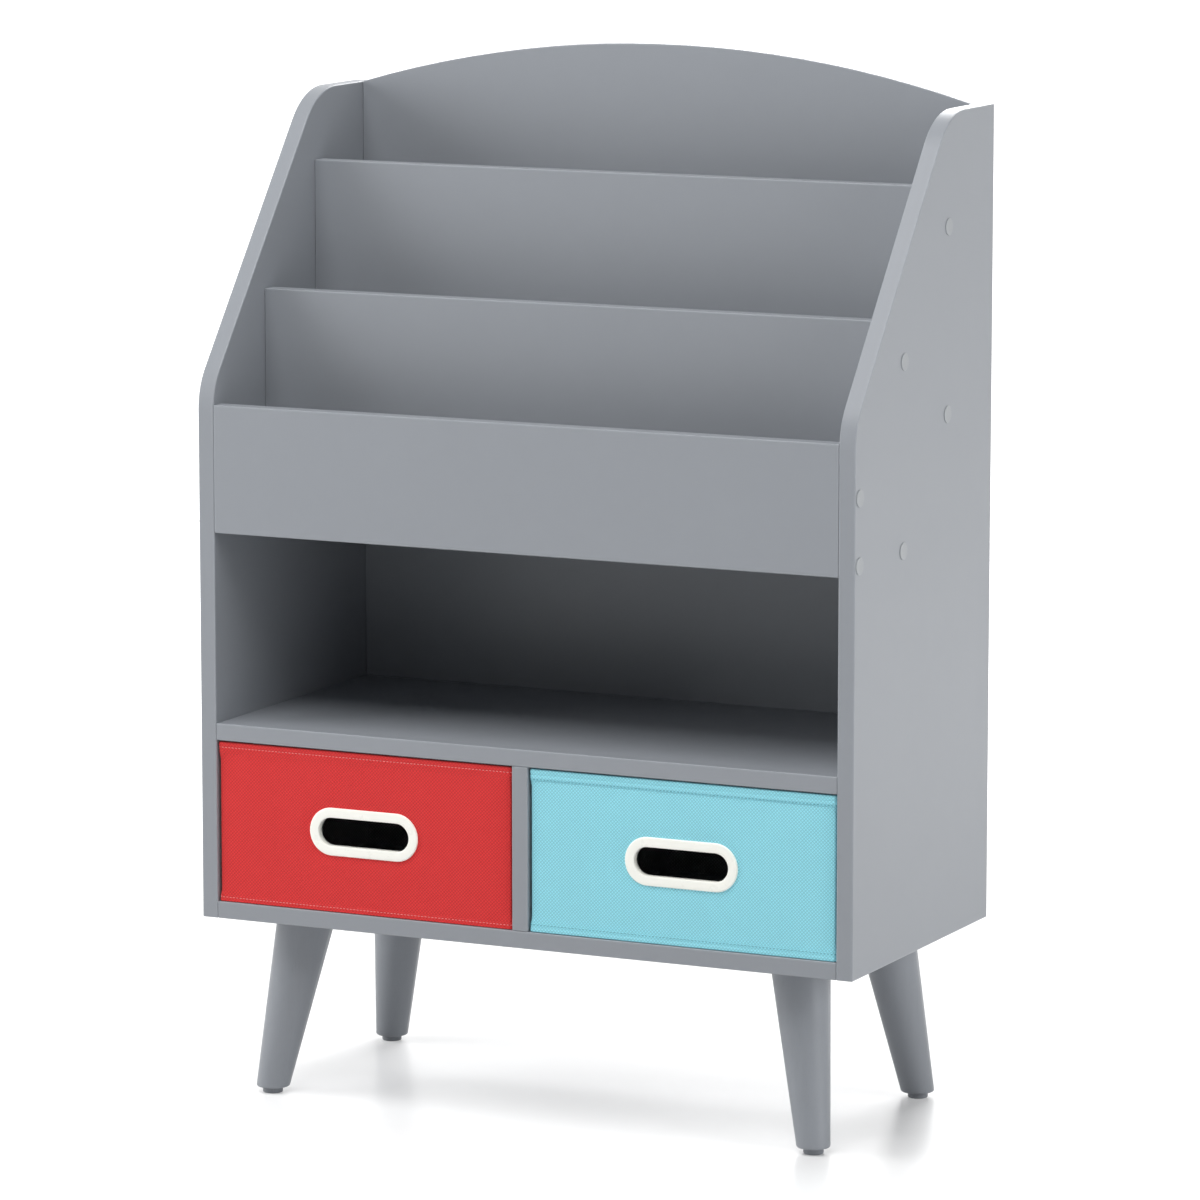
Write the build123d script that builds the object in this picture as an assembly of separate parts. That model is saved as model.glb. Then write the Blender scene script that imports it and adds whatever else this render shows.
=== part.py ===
from build123d import *
import os

# Children's bookshelf: three stepped book pockets over an open shelf and two fabric bins.
# Sizes are in millimetres. The origin is on the floor, at the centre of the footprint.
# X runs to the right, Y to the rear and Z up.

# Overall sizes of the case
case_width = 620.0
case_depth = 296.0
side_height = 713.1
board = 15.0
edge_round = 1.0

# Outline of the side panels: a vertical front edge, then a slanted one up to a flat top
slant_start_height = 467.4
side_top_length = 100.0
upper_corner_radius = 70.0
lower_corner_radius = 55.0
arch_rise = 42.4

# Legs and glides
leg_height = 153.9
leg_top_inset_x = 72.9
leg_top_inset_y = 57.5
leg_splay = 23.2
leg_top_radius = 25.8
leg_bottom_radius = 14.4
leg_rim_round = 1.5
glide_height = 5.5
glide_radius = 8.8
glide_pin_radius = 1.5
glide_pin_length = 15.0

# Heights inside the case
bin_bay_height = 143.2
open_shelf_height = 167.5
front_panel_height = 111.8
tier_panel_height = 204.2
tier_rise = 105.2
pocket_depth = 79.3

# Screws through the side panels into the ends of the pocket panels, and their caps
screw_low_inset = 9.6
tier_screw_top_inset = 34.3
front_screw_top_inset = 45.5
front_screw_setback = 9.0
screw_head_radius = 5.0
screw_head_height = 3.5
screw_head_recess = 0.5
screw_shank_radius = 3.4
screw_thread_radius = 2.5
screw_thread_length = 35.0
screw_socket_flats = 4.0
screw_socket_depth = 2.5
cap_radius = 7.5
cap_height = 0.8
cap_rim_round = 0.5
cap_pin_radius = 1.5
cap_pin_length = 2.0

# Cam fittings that pull a board's end against a side panel
cam_radius = 7.5
cam_setback = 24.0
cam_skin = 2.5
cam_slot_length = 8.0
cam_slot_width = 1.6
cam_slot_depth = 1.5
cam_bolt_radius = 3.4
cam_bolt_neck_radius = 2.1
cam_bolt_neck_length = 3.0
cam_bolt_head_length = 3.5
cam_bolt_thread_radius = 3.0
cam_bolt_thread_length = 11.0
shelf_cam_spacing = 90.0
back_cam_end_inset = 90.0

# Wooden dowels
dowel_radius = 4.0
dowel_in_face = 11.0
dowel_in_end = 19.0
shelf_dowel_spacing = 190.0
back_dowel_spacing = 380.0
divider_dowel_spacing = 150.0
floor_dowel_end_inset = 95.0

# Leg bolts and the flanged threaded inserts that take them
leg_bolt_radius = 3.9
leg_bolt_in_leg = 30.0
leg_bolt_in_board = 12.0
insert_radius = 5.0
insert_flange_radius = 9.5
insert_flange_height = 1.3
insert_foot_gap = 1.5

# Fabric bins
bin_side_gap = 0.75
bin_floor_gap = 0.3
bin_top_gap = 1.3
bin_setback = 1.4
bin_rear_gap = 4.0
bin_corner_radius = 4.0
hem_thickness = 0.8
top_hem_height = 10.5
bottom_hem_height = 8.0
cover_thickness = 0.8
stiffener_thickness = 2.2
lining_thickness = 0.8

# Handle ring, a front half with a sleeve and a rear half that clips on the sleeve
ring_length = 105.0
ring_height = 42.2
ring_band = 8.7
ring_flange = 1.8
ring_sleeve = 1.6
ring_edge_round = 0.7
rear_ring_margin = 1.5

# Named clearances
fit_clearance = 0.1
hole_end_clearance = 0.5
sleeve_clearance = 0.2

# Levels and faces worked out from the sizes above
case_bottom = glide_height + leg_height
side_top = case_bottom + side_height
bottom_board_top = case_bottom + board
shelf_bottom = bottom_board_top + bin_bay_height
shelf_top = shelf_bottom + board
pocket_bottom = shelf_top + open_shelf_height
front_face = -case_depth / 2
rear_face = case_depth / 2
back_front_face = rear_face - board
outer_side = case_width / 2
inner_side = outer_side - board
lower_tier_face = front_face + board + pocket_depth
upper_tier_face = lower_tier_face + board + pocket_depth
middle_floor_bottom = pocket_bottom + tier_rise
rear_floor_bottom = middle_floor_bottom + tier_rise
back_middle = rear_face - board / 2


def block(x_range, y_range, z_range):
    # A plain block between two limits along each axis.
    sizes = [high - low for low, high in (x_range, y_range, z_range)]
    middles = [(high + low) / 2 for low, high in (x_range, y_range, z_range)]
    return Pos(*middles) * Box(*sizes)


def rod(start, end, radius):
    # A round rod from one point to another.
    direction = Vector(*end) - Vector(*start)
    foot = Plane(origin=start, z_dir=direction)
    return extrude(foot * Circle(radius), direction.length)


def stepped_rod(start, direction, stages):
    # Rods of different radii one after another; each stage is a length and a radius.
    direction = Vector(*direction)
    at = Vector(*start)
    body = None
    for length, radius in stages:
        end = at + direction * length
        stage = rod(at, end, radius)
        body = stage if body is None else body + stage
        at = end
    return body


def eased(body):
    # A board with all its outer edges softened by the same small radius.
    return fillet(body.edges(), edge_round)


# Screws and caps


def screw_places():
    # Every screw's depth and height, two for each pocket panel.
    front_top = pocket_bottom + front_panel_height
    lower_top = pocket_bottom + tier_panel_height
    upper_top = middle_floor_bottom + tier_panel_height
    front_line = front_face + front_screw_setback
    lower_line = lower_tier_face + board / 2
    upper_line = upper_tier_face + board / 2
    return [
        (front_line, pocket_bottom + screw_low_inset),
        (front_line, front_top - front_screw_top_inset),
        (lower_line, pocket_bottom + screw_low_inset),
        (lower_line, lower_top - tier_screw_top_inset),
        (upper_line, middle_floor_bottom + screw_low_inset),
        (upper_line, upper_top - tier_screw_top_inset),
    ]


def screw_stages(clearance):
    # Head, shank and thread; with a clearance the same stages cut the screw's hole.
    shank = board - screw_head_recess - screw_head_height
    return [
        (screw_head_height, screw_head_radius + clearance),
        (shank, screw_shank_radius + clearance),
        (screw_thread_length, screw_thread_radius + clearance),
    ]


def panel_screw(side, y, z):
    inward = (-side, 0, 0)
    head_face = side * (outer_side - screw_head_recess)
    screw = stepped_rod((head_face, y, z), inward, screw_stages(0))
    socket_plane = Plane(origin=(head_face, y, z), z_dir=inward)
    socket = RegularPolygon(screw_socket_flats / 2, 6, major_radius=False)
    return screw - extrude(socket_plane * socket, screw_socket_depth)


def screw_hole(side, y, z):
    # The hole runs from the side panel's outer face to just past the screw's tip.
    recess = (screw_head_recess, screw_head_radius + fit_clearance)
    tip = (hole_end_clearance, screw_thread_radius + fit_clearance)
    stages = [recess] + screw_stages(fit_clearance) + [tip]
    return stepped_rod((side * outer_side, y, z), (-side, 0, 0), stages)


def screw_cap(side, y, z):
    face = side * outer_side
    disc = rod((face, y, z), (face + side * cap_height, y, z), cap_radius)
    rim = disc.edges().filter_by(GeomType.CIRCLE).sort_by(Axis.X)[-1 if side > 0 else 0]
    disc = fillet(rim, cap_rim_round)
    pin_end = face - side * cap_pin_length
    return disc + rod((face, y, z), (pin_end, y, z), cap_pin_radius)


# Cam fittings: a bolt in the side panel and a disc in the board, opening along `mouth`


def cam_bolt(side, y, z):
    # Thread inside the side panel, then shank, neck and head inside the board.
    shank = cam_setback - cam_bolt_neck_length
    stages = [
        (cam_bolt_thread_length, cam_bolt_thread_radius),
        (shank, cam_bolt_radius),
        (cam_bolt_neck_length, cam_bolt_neck_radius),
        (cam_bolt_head_length, cam_bolt_radius),
    ]
    start = side * (inner_side + cam_bolt_thread_length)
    return stepped_rod((start, y, z), (-side, 0, 0), stages)


def cam_bolt_hole(side, y, z):
    deep_end = side * (inner_side + cam_bolt_thread_length + hole_end_clearance)
    in_side = rod((deep_end, y, z), (side * inner_side, y, z), cam_bolt_thread_radius + fit_clearance)
    far_end = side * (inner_side - cam_setback)
    in_board = rod((side * inner_side, y, z), (far_end, y, z), cam_bolt_radius + fit_clearance)
    return in_side + in_board


def cam_mouth(side, y, z, mouth):
    # The centre of the disc's open face, on the face of the board.
    centre = Vector(side * (inner_side - cam_setback), y, z)
    return centre + Vector(*mouth) * (board / 2)


def cam_disc(side, y, z, mouth):
    # A disc with a channel that takes the bolt's head, and a cross slot in its open face.
    top = cam_mouth(side, y, z, mouth)
    bottom = top - Vector(*mouth) * (board - cam_skin)
    disc = rod(top, bottom, cam_radius)
    channel_half = cam_bolt_radius + fit_clearance
    inner_end = side * (inner_side - cam_setback - cam_bolt_head_length - hole_end_clearance)
    x_range = sorted((inner_end, side * inner_side))
    channel = block(x_range, (y - channel_half, y + channel_half), (z - channel_half, z + channel_half))
    slots = []
    for turn in (0, 90):
        plane = Plane(origin=top, x_dir=(1, 0, 0), z_dir=mouth)
        slot = plane * (Rot(0, 0, turn) * Rectangle(cam_slot_length, cam_slot_width))
        slots.append(extrude(slot, -cam_slot_depth))
    return disc - channel - slots[0] - slots[1]


def cam_disc_hole(side, y, z, mouth):
    top = cam_mouth(side, y, z, mouth)
    bottom = top - Vector(*mouth) * (board - cam_skin + fit_clearance)
    return rod(top, bottom, cam_radius + fit_clearance)


# Dowels: each lies across a joint, shorter in the face than in the end it meets


def dowel(joint_point, into_end):
    direction = Vector(*into_end)
    point = Vector(*joint_point)
    start = point - direction * dowel_in_face
    end = point + direction * dowel_in_end
    return rod(start, end, dowel_radius)


def dowel_hole(joint_point, into_end):
    direction = Vector(*into_end)
    point = Vector(*joint_point)
    start = point - direction * (dowel_in_face + hole_end_clearance)
    end = point + direction * (dowel_in_end + hole_end_clearance)
    return rod(start, end, dowel_radius + fit_clearance)


# Where every fastener goes

down, rearward = (0, 0, -1), (0, 1, 0)
case_middle = (front_face + back_front_face) / 2
shelf_cam_lines = [case_middle - shelf_cam_spacing / 2, case_middle + shelf_cam_spacing / 2]
shelf_dowel_lines = [case_middle - shelf_dowel_spacing / 2, case_middle + shelf_dowel_spacing / 2]
shelf_level = shelf_bottom + board / 2
bottom_level = case_bottom + board / 2
back_centre_height = case_bottom + side_height / 2
back_cam_levels = [
    case_bottom + back_cam_end_inset,
    back_centre_height,
    side_top - back_cam_end_inset,
]
back_dowel_levels = [
    back_centre_height - back_dowel_spacing / 2,
    back_centre_height + back_dowel_spacing / 2,
]
both_sides = (-1, 1)

shelf_cams = [(s, y, shelf_level, down) for s in both_sides for y in shelf_cam_lines]
bottom_cams = [(s, y, bottom_level, down) for s in both_sides for y in shelf_cam_lines]
back_cams = [(s, back_middle, z, rearward) for s in both_sides for z in back_cam_levels]

shelf_dowels = [
    ((s * inner_side, y, shelf_level), (-s, 0, 0)) for s in both_sides for y in shelf_dowel_lines
]
bottom_dowels = [
    ((s * inner_side, y, bottom_level), (-s, 0, 0)) for s in both_sides for y in shelf_dowel_lines
]
back_dowels = [
    ((s * inner_side, back_middle, z), (-s, 0, 0)) for s in both_sides for z in back_dowel_levels
]
divider_dowel_lines = [
    case_middle - divider_dowel_spacing / 2,
    case_middle + divider_dowel_spacing / 2,
]
divider_dowels = [((0, y, bottom_board_top), (0, 0, 1)) for y in divider_dowel_lines]
divider_dowels += [((0, y, shelf_bottom), (0, 0, -1)) for y in divider_dowel_lines]

pocket_floors = {
    "front_pocket_floor": (front_face + board, lower_tier_face, pocket_bottom),
    "middle_pocket_floor": (lower_tier_face + board, upper_tier_face, middle_floor_bottom),
    "rear_pocket_floor": (upper_tier_face + board, back_front_face, rear_floor_bottom),
}
floor_dowel_columns = [-(inner_side - floor_dowel_end_inset), 0, inner_side - floor_dowel_end_inset]
# A shallow pocket floor takes shorter dowels, so that the ones from both its edges never meet.
floor_dowel_rooms = [(rear - front) / 2 for front, rear, low in pocket_floors.values()]
floor_dowel_reach = min([dowel_in_end] + [room - 2 * hole_end_clearance for room in floor_dowel_rooms])


def floor_dowel_rods(extra_radius, extra_length):
    # Three rods across each long edge of every pocket floor.
    rods = []
    for front, rear, low in pocket_floors.values():
        for x in floor_dowel_columns:
            for edge, inward in ((front, 1), (rear, -1)):
                start = edge - inward * (dowel_in_face + extra_length)
                end = edge + inward * (floor_dowel_reach + extra_length)
                z = low + board / 2
                rods.append(rod((x, start, z), (x, end, z), dowel_radius + extra_radius))
    return rods


leg_corners = {
    "front_left": (-1, -1),
    "front_right": (1, -1),
    "rear_left": (-1, 1),
    "rear_right": (1, 1),
}


def leg_top(corner):
    # Centre of a leg's top face; the footprint's corner directions give the signs.
    side, end = corner
    return (side * (outer_side - leg_top_inset_x), end * (rear_face - leg_top_inset_y), case_bottom)


# Cutters shared by the boards they pass through

screw_cutters = [screw_hole(s, y, z) for s in both_sides for y, z in screw_places()]
cam_bolt_cutters = [cam_bolt_hole(s, y, z) for s, y, z, mouth in shelf_cams + bottom_cams + back_cams]
side_dowel_cutters = [dowel_hole(*place) for place in shelf_dowels + bottom_dowels + back_dowels]
floor_dowel_cutters = floor_dowel_rods(fit_clearance, hole_end_clearance)


def touching(cutters, body):
    # Only the cutters whose boxes reach the body, so each board is cut by few tools.
    box = body.bounding_box()
    near = []
    for cutter in cutters:
        other = cutter.bounding_box()
        apart = (
            other.min.X > box.max.X or other.max.X < box.min.X
            or other.min.Y > box.max.Y or other.max.Y < box.min.Y
            or other.min.Z > box.max.Z or other.max.Z < box.min.Z
        )
        if not apart:
            near.append(cutter)
    return near


def drilled(body, cutters):
    # One cut after another keeps each board a single clean solid.
    for cutter in touching(cutters, body):
        body = body - cutter
    return body


# Boards


def side_panel(side):
    # Outline in the YZ plane: two sharp rear corners, two bottom ones and a slanted, rounded front.
    slant_low = (front_face, case_bottom + slant_start_height)
    slant_high = (rear_face - side_top_length, side_top)
    outline = Polyline(
        (front_face, case_bottom),
        slant_low,
        slant_high,
        (rear_face, side_top),
        (rear_face, case_bottom),
        close=True,
    )
    face = make_face(outline)
    low_corner = face.vertices().sort_by_distance((slant_low[0], slant_low[1], 0))[0]
    face = fillet(low_corner, lower_corner_radius)
    high_corner = face.vertices().sort_by_distance((slant_high[0], slant_high[1], 0))[0]
    face = fillet(high_corner, upper_corner_radius)
    start = inner_side if side > 0 else -outer_side
    plane = Plane(origin=(start, 0, 0), x_dir=(0, 1, 0), z_dir=(1, 0, 0))
    panel = eased(extrude(plane * face, board))
    return drilled(panel, screw_cutters + cam_bolt_cutters + side_dowel_cutters)


def back_panel():
    # A rectangle between the side panels with a shallow arc on top.
    arch = ThreePointArc((-inner_side, side_top), (0, side_top + arch_rise), (inner_side, side_top))
    rest = Polyline(
        (inner_side, side_top),
        (inner_side, case_bottom),
        (-inner_side, case_bottom),
        (-inner_side, side_top),
    )
    plane = Plane(origin=(0, back_front_face, 0), x_dir=(1, 0, 0), z_dir=(0, -1, 0))
    panel = eased(extrude(plane * make_face([arch, rest]), -board))
    panel = drilled(panel, [cam_disc_hole(*place) for place in back_cams])
    return drilled(panel, cam_bolt_cutters + side_dowel_cutters + floor_dowel_cutters)


def cross_board(y_range, z_range):
    # A board that spans the case between the side panels.
    return eased(block((-inner_side, inner_side), y_range, z_range))


def pocket_panel(face, low, height):
    panel = cross_board((face, face + board), (low, low + height))
    return drilled(panel, screw_cutters + floor_dowel_cutters)


def middle_shelf():
    shelf = cross_board((front_face, back_front_face), (shelf_bottom, shelf_top))
    shelf = drilled(shelf, [cam_disc_hole(*place) for place in shelf_cams])
    shelf = drilled(shelf, cam_bolt_cutters + side_dowel_cutters)
    return drilled(shelf, [dowel_hole(*place) for place in divider_dowels])


def bottom_board():
    floor = cross_board((front_face, back_front_face), (case_bottom, bottom_board_top))
    floor = drilled(floor, [cam_disc_hole(*place) for place in bottom_cams])
    floor = drilled(floor, cam_bolt_cutters + side_dowel_cutters)
    floor = drilled(floor, [dowel_hole(*place) for place in divider_dowels])
    return drilled(floor, [insert_hole(corner) for corner in leg_corners.values()])


def centre_divider():
    divider = eased(
        block((-board / 2, board / 2), (front_face, back_front_face), (bottom_board_top, shelf_bottom))
    )
    return drilled(divider, [dowel_hole(*place) for place in divider_dowels])


# Legs


def leg(corner):
    # A tapered round leg on a tilted axis, cut level at the case and at the glide.
    side, end = corner
    top = Vector(*leg_top(corner))
    foot = top + Vector(side * leg_splay, end * leg_splay, -leg_height)
    axis_length = (top - foot).length
    spare = leg_top_radius
    # The cone runs past both cuts, so its radii are stretched along the same taper.
    taper = (leg_top_radius - leg_bottom_radius) / axis_length
    axis = (top - foot).normalized()
    plane = Plane(origin=foot - axis * spare, z_dir=axis)
    cone = plane * Cone(
        leg_bottom_radius - taper * spare,
        leg_top_radius + taper * spare,
        axis_length + 2 * spare,
        align=(Align.CENTER, Align.CENTER, Align.MIN),
    )
    reach = 2 * leg_top_radius + leg_splay
    slab = block(
        (top.X - reach, top.X + reach), (top.Y - reach, top.Y + reach), (glide_height, case_bottom)
    )
    body = cone & slab
    rim = body.faces().sort_by(Axis.Z)[0].edges()
    body = fillet(rim, leg_rim_round)
    body = body - rod(
        (top.X, top.Y, top.Z),
        (top.X, top.Y, top.Z - leg_bolt_in_leg - hole_end_clearance),
        leg_bolt_radius + fit_clearance,
    )
    return body - rod(
        (foot.X, foot.Y, foot.Z),
        (foot.X, foot.Y, foot.Z + glide_pin_length + hole_end_clearance),
        glide_pin_radius + fit_clearance,
    )


def glide(corner):
    # A round pad under the leg, with the pin that holds it.
    side, end = corner
    x, y, z = leg_top(corner)
    x, y = x + side * leg_splay, y + end * leg_splay
    pad = rod((x, y, 0), (x, y, glide_height), glide_radius)
    pad = fillet(pad.edges().sort_by(Axis.Z)[0], edge_round)
    return pad + rod((x, y, glide_height), (x, y, glide_height + glide_pin_length), glide_pin_radius)


def leg_bolt(corner):
    x, y, z = leg_top(corner)
    return rod((x, y, z - leg_bolt_in_leg), (x, y, z + leg_bolt_in_board), leg_bolt_radius)


def insert_stages(clearance):
    # Barrel, then flange, from the lower end up.
    barrel = board - insert_foot_gap - insert_flange_height - fit_clearance
    return [
        (barrel, insert_radius + clearance),
        (insert_flange_height, insert_flange_radius + clearance),
    ]


def leg_insert(corner):
    x, y, z = leg_top(corner)
    insert = stepped_rod((x, y, z + insert_foot_gap), (0, 0, 1), insert_stages(0))
    return insert - rod((x, y, z), (x, y, z + board), leg_bolt_radius + fit_clearance)


def insert_hole(corner):
    # Right through the bottom board, with a shallow recess for the flange on top.
    x, y, z = leg_top(corner)
    through = rod((x, y, z), (x, y, z + board), insert_radius + fit_clearance)
    recess_floor = z + board - insert_flange_height - fit_clearance
    recess = rod((x, y, recess_floor), (x, y, z + board), insert_flange_radius + fit_clearance)
    return through + recess


# Fabric bins

bay_width = inner_side - board / 2
bin_half_width = bay_width / 2 - bin_side_gap
bin_low = bottom_board_top + bin_floor_gap
bin_high = shelf_bottom - bin_top_gap
bin_front = front_face + bin_setback
bin_rear = back_front_face - bin_rear_gap
bin_centres = {"red": -(board + bay_width) / 2, "aqua": (board + bay_width) / 2}
handle_level = (bin_low + bin_high) / 2

# Depth below the hem's outer face at which each layer of a wall starts, from outside to inside
cover_skin = hem_thickness
stiffener_skin = cover_skin + cover_thickness
lining_skin = stiffener_skin + stiffener_thickness
inner_skin = lining_skin + lining_thickness


def bin_prism(centre, skin, low, high):
    # A block with rounded upright corners, set in from the bin's outer faces by `skin`.
    corner = max(bin_corner_radius - skin, edge_round)
    plan = RectangleRounded(
        2 * (bin_half_width - skin), bin_rear - bin_front - 2 * skin, corner
    )
    return extrude(Pos(centre, (bin_front + bin_rear) / 2, low) * plan, high - low)


def handle_prism(centre, margin, front, rear):
    # A block with round ends through the front wall; `margin` is the growth past the opening.
    plane = Plane(origin=(centre, front, handle_level), x_dir=(1, 0, 0), z_dir=(0, -1, 0))
    length = ring_length - 2 * ring_band + 2 * margin
    height = ring_height - 2 * ring_band + 2 * margin
    return extrude(plane * SlotOverall(length, height), front - rear)


def wall_slot(centre):
    # The hole that the ring's sleeve passes through, cut in every layer of the front wall.
    return handle_prism(centre, ring_sleeve + sleeve_clearance, front_face, bin_front + 2 * inner_skin)


def bin_cover(centre):
    top = bin_high - hem_thickness
    outside = bin_prism(centre, cover_skin, bin_low, top)
    inside = bin_prism(centre, stiffener_skin, bin_low + cover_thickness, top)
    return outside - inside - wall_slot(centre)


def bin_lining(centre):
    top = bin_high - hem_thickness
    floor = bin_low + cover_thickness + stiffener_thickness
    outside = bin_prism(centre, lining_skin, floor, top)
    inside = bin_prism(centre, inner_skin, floor + lining_thickness, top)
    return outside - inside - wall_slot(centre)


def bin_top_hem(centre):
    # A band folded over the top edge of all the layers, inside and outside the wall.
    low = bin_high - top_hem_height
    outside = bin_prism(centre, 0, low, bin_high)
    opening = bin_prism(centre, inner_skin + hem_thickness, low, bin_high)
    wall = bin_prism(centre, cover_skin, low, bin_high - hem_thickness)
    core = bin_prism(centre, inner_skin, low, bin_high - hem_thickness)
    return outside - opening - (wall - core)


def bin_bottom_hem(centre):
    # A flat band round the foot of the cover.
    high = bin_low + bottom_hem_height
    return bin_prism(centre, 0, bin_low, high) - bin_prism(centre, cover_skin, bin_low, high)


def bin_stiffeners(centre):
    # Four wall boards that end short of the rounded corners, standing on a base board.
    left = centre - bin_half_width + stiffener_skin
    right = centre + bin_half_width - stiffener_skin
    front = bin_front + stiffener_skin
    rear = bin_rear - stiffener_skin
    across = (left + bin_corner_radius, right - bin_corner_radius)
    along = (front + bin_corner_radius, rear - bin_corner_radius)
    base_low = bin_low + cover_thickness
    base_high = base_low + stiffener_thickness
    upright = (base_high, bin_high - hem_thickness)
    front_board = block(across, (front, front + stiffener_thickness), upright)
    return {
        "front_board": front_board - wall_slot(centre),
        "back_board": block(across, (rear - stiffener_thickness, rear), upright),
        "left_board": block((left, left + stiffener_thickness), along, upright),
        "right_board": block((right - stiffener_thickness, right), along, upright),
        "base_board": block(across, along, (base_low, base_high)),
    }


def handle_ring(centre):
    # A flange in front of the cover and a sleeve through the wall.
    wall_front = bin_front + cover_skin
    wall_rear = bin_front + inner_skin
    flange_front = wall_front - ring_flange
    flange = handle_prism(centre, ring_band, flange_front, wall_front)
    flange = fillet(flange.faces().sort_by(Axis.Y)[0].edges(), ring_edge_round)
    sleeve = handle_prism(centre, ring_sleeve, wall_front, wall_rear + ring_flange)
    return flange + sleeve - handle_prism(centre, 0, flange_front, wall_rear + ring_flange)


def handle_backing_ring(centre):
    # The rear half: a flange against the lining, held on the sleeve.
    wall_rear = bin_front + inner_skin
    flange = handle_prism(centre, ring_band - rear_ring_margin, wall_rear, wall_rear + ring_flange)
    flange = fillet(flange.faces().sort_by(Axis.Y)[-1].edges(), ring_edge_round)
    return flange - handle_prism(centre, ring_sleeve + fit_clearance, wall_rear, wall_rear + ring_flange)


# All the pieces, by the name of the file each is written to

pieces = {
    "left_side_panel": side_panel(-1),
    "right_side_panel": side_panel(1),
    "back_panel": back_panel(),
    "front_panel": pocket_panel(front_face, pocket_bottom, front_panel_height),
    "lower_tier_panel": pocket_panel(lower_tier_face, pocket_bottom, tier_panel_height),
    "upper_tier_panel": pocket_panel(upper_tier_face, middle_floor_bottom, tier_panel_height),
    "middle_shelf": middle_shelf(),
    "bottom_board": bottom_board(),
    "centre_divider": centre_divider(),
}
for name, (front, rear, low) in pocket_floors.items():
    pieces[name] = drilled(cross_board((front, rear), (low, low + board)), floor_dowel_cutters)

for name, corner in leg_corners.items():
    pieces[name + "_leg"] = leg(corner)
    pieces[name + "_glide"] = glide(corner)

for name, side in {"left": -1, "right": 1}.items():
    pieces[name + "_screw_caps"] = [screw_cap(side, y, z) for y, z in screw_places()]
    pieces[name + "_panel_screws"] = [panel_screw(side, y, z) for y, z in screw_places()]

for name, places in {"shelf": shelf_cams, "bottom_board": bottom_cams, "back_panel": back_cams}.items():
    pieces[name + "_cam_discs"] = [cam_disc(*place) for place in places]
    pieces[name + "_cam_bolts"] = [cam_bolt(s, y, z) for s, y, z, mouth in places]

pieces["shelf_dowels"] = [dowel(*place) for place in shelf_dowels]
pieces["bottom_board_dowels"] = [dowel(*place) for place in bottom_dowels]
pieces["back_panel_dowels"] = [dowel(*place) for place in back_dowels]
pieces["divider_dowels"] = [dowel(*place) for place in divider_dowels]
pieces["pocket_floor_dowels"] = floor_dowel_rods(0, 0)
pieces["leg_bolts"] = [leg_bolt(corner) for corner in leg_corners.values()]
pieces["leg_inserts"] = [leg_insert(corner) for corner in leg_corners.values()]

for colour, centre in bin_centres.items():
    prefix = colour + "_bin_"
    pieces[prefix + "cover"] = bin_cover(centre)
    pieces[prefix + "lining"] = bin_lining(centre)
    pieces[prefix + "top_hem"] = bin_top_hem(centre)
    pieces[prefix + "bottom_hem"] = bin_bottom_hem(centre)
    pieces[prefix + "handle_ring"] = handle_ring(centre)
    pieces[prefix + "handle_backing_ring"] = handle_backing_ring(centre)
    for name, stiffener in bin_stiffeners(centre).items():
        pieces[prefix + name] = stiffener

os.makedirs("parts", exist_ok=True)
for name, shape in pieces.items():
    group = shape if isinstance(shape, list) else [shape]
    solids = [solid for item in group for solid in item.solids()]
    export_step(Compound(children=solids) if len(solids) > 1 else solids[0], "parts/" + name + ".step")

print("pieces written:", len(pieces))
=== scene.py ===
import math
import bmesh
import bpy
import numpy as np
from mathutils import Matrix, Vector


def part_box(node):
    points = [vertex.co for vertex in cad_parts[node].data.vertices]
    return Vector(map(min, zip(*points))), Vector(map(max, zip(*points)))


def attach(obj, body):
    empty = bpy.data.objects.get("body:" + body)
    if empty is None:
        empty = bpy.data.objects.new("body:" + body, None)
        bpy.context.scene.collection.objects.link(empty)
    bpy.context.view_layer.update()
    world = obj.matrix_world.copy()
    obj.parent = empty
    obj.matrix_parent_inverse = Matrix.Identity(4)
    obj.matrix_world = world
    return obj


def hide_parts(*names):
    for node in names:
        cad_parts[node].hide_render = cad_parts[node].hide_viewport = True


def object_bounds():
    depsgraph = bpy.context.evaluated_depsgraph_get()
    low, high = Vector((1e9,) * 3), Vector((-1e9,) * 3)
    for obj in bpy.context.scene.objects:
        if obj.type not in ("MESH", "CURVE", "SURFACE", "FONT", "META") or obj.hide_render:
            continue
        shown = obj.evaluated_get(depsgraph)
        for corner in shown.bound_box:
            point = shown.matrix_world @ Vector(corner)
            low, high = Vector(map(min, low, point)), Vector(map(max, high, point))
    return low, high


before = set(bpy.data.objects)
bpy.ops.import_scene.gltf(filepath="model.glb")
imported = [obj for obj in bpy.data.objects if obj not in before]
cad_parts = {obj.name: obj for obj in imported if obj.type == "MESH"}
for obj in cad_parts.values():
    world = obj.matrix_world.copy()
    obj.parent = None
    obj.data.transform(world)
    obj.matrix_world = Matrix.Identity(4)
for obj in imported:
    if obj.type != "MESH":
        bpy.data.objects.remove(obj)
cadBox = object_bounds()
mm = 0.001


# Colours and nodes

def shownColour(red, green, blue):
    # Display values from 0 to 255, turned into the linear values that a shader takes.
    shown = np.array([red, green, blue]) / 255
    linear = np.where(shown <= 0.04045, shown / 12.92, ((shown + 0.055) / 1.055) ** 2.4)
    return (*linear.tolist(), 1.0)


def addNode(tree, kind, inputs=None, **settings):
    # A socket among the inputs is linked, and anything else is set as the socket's value.
    node = tree.nodes.new(kind)
    for key, value in settings.items():
        setattr(node, key, value)
    for key, value in (inputs or {}).items():
        if isinstance(value, bpy.types.NodeSocket):
            tree.links.new(value, node.inputs[key])
        else:
            node.inputs[key].default_value = value
    return node


def compute(tree, operation, *values):
    return addNode(tree, "ShaderNodeMath", dict(enumerate(values)), operation=operation).outputs[0]


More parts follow.
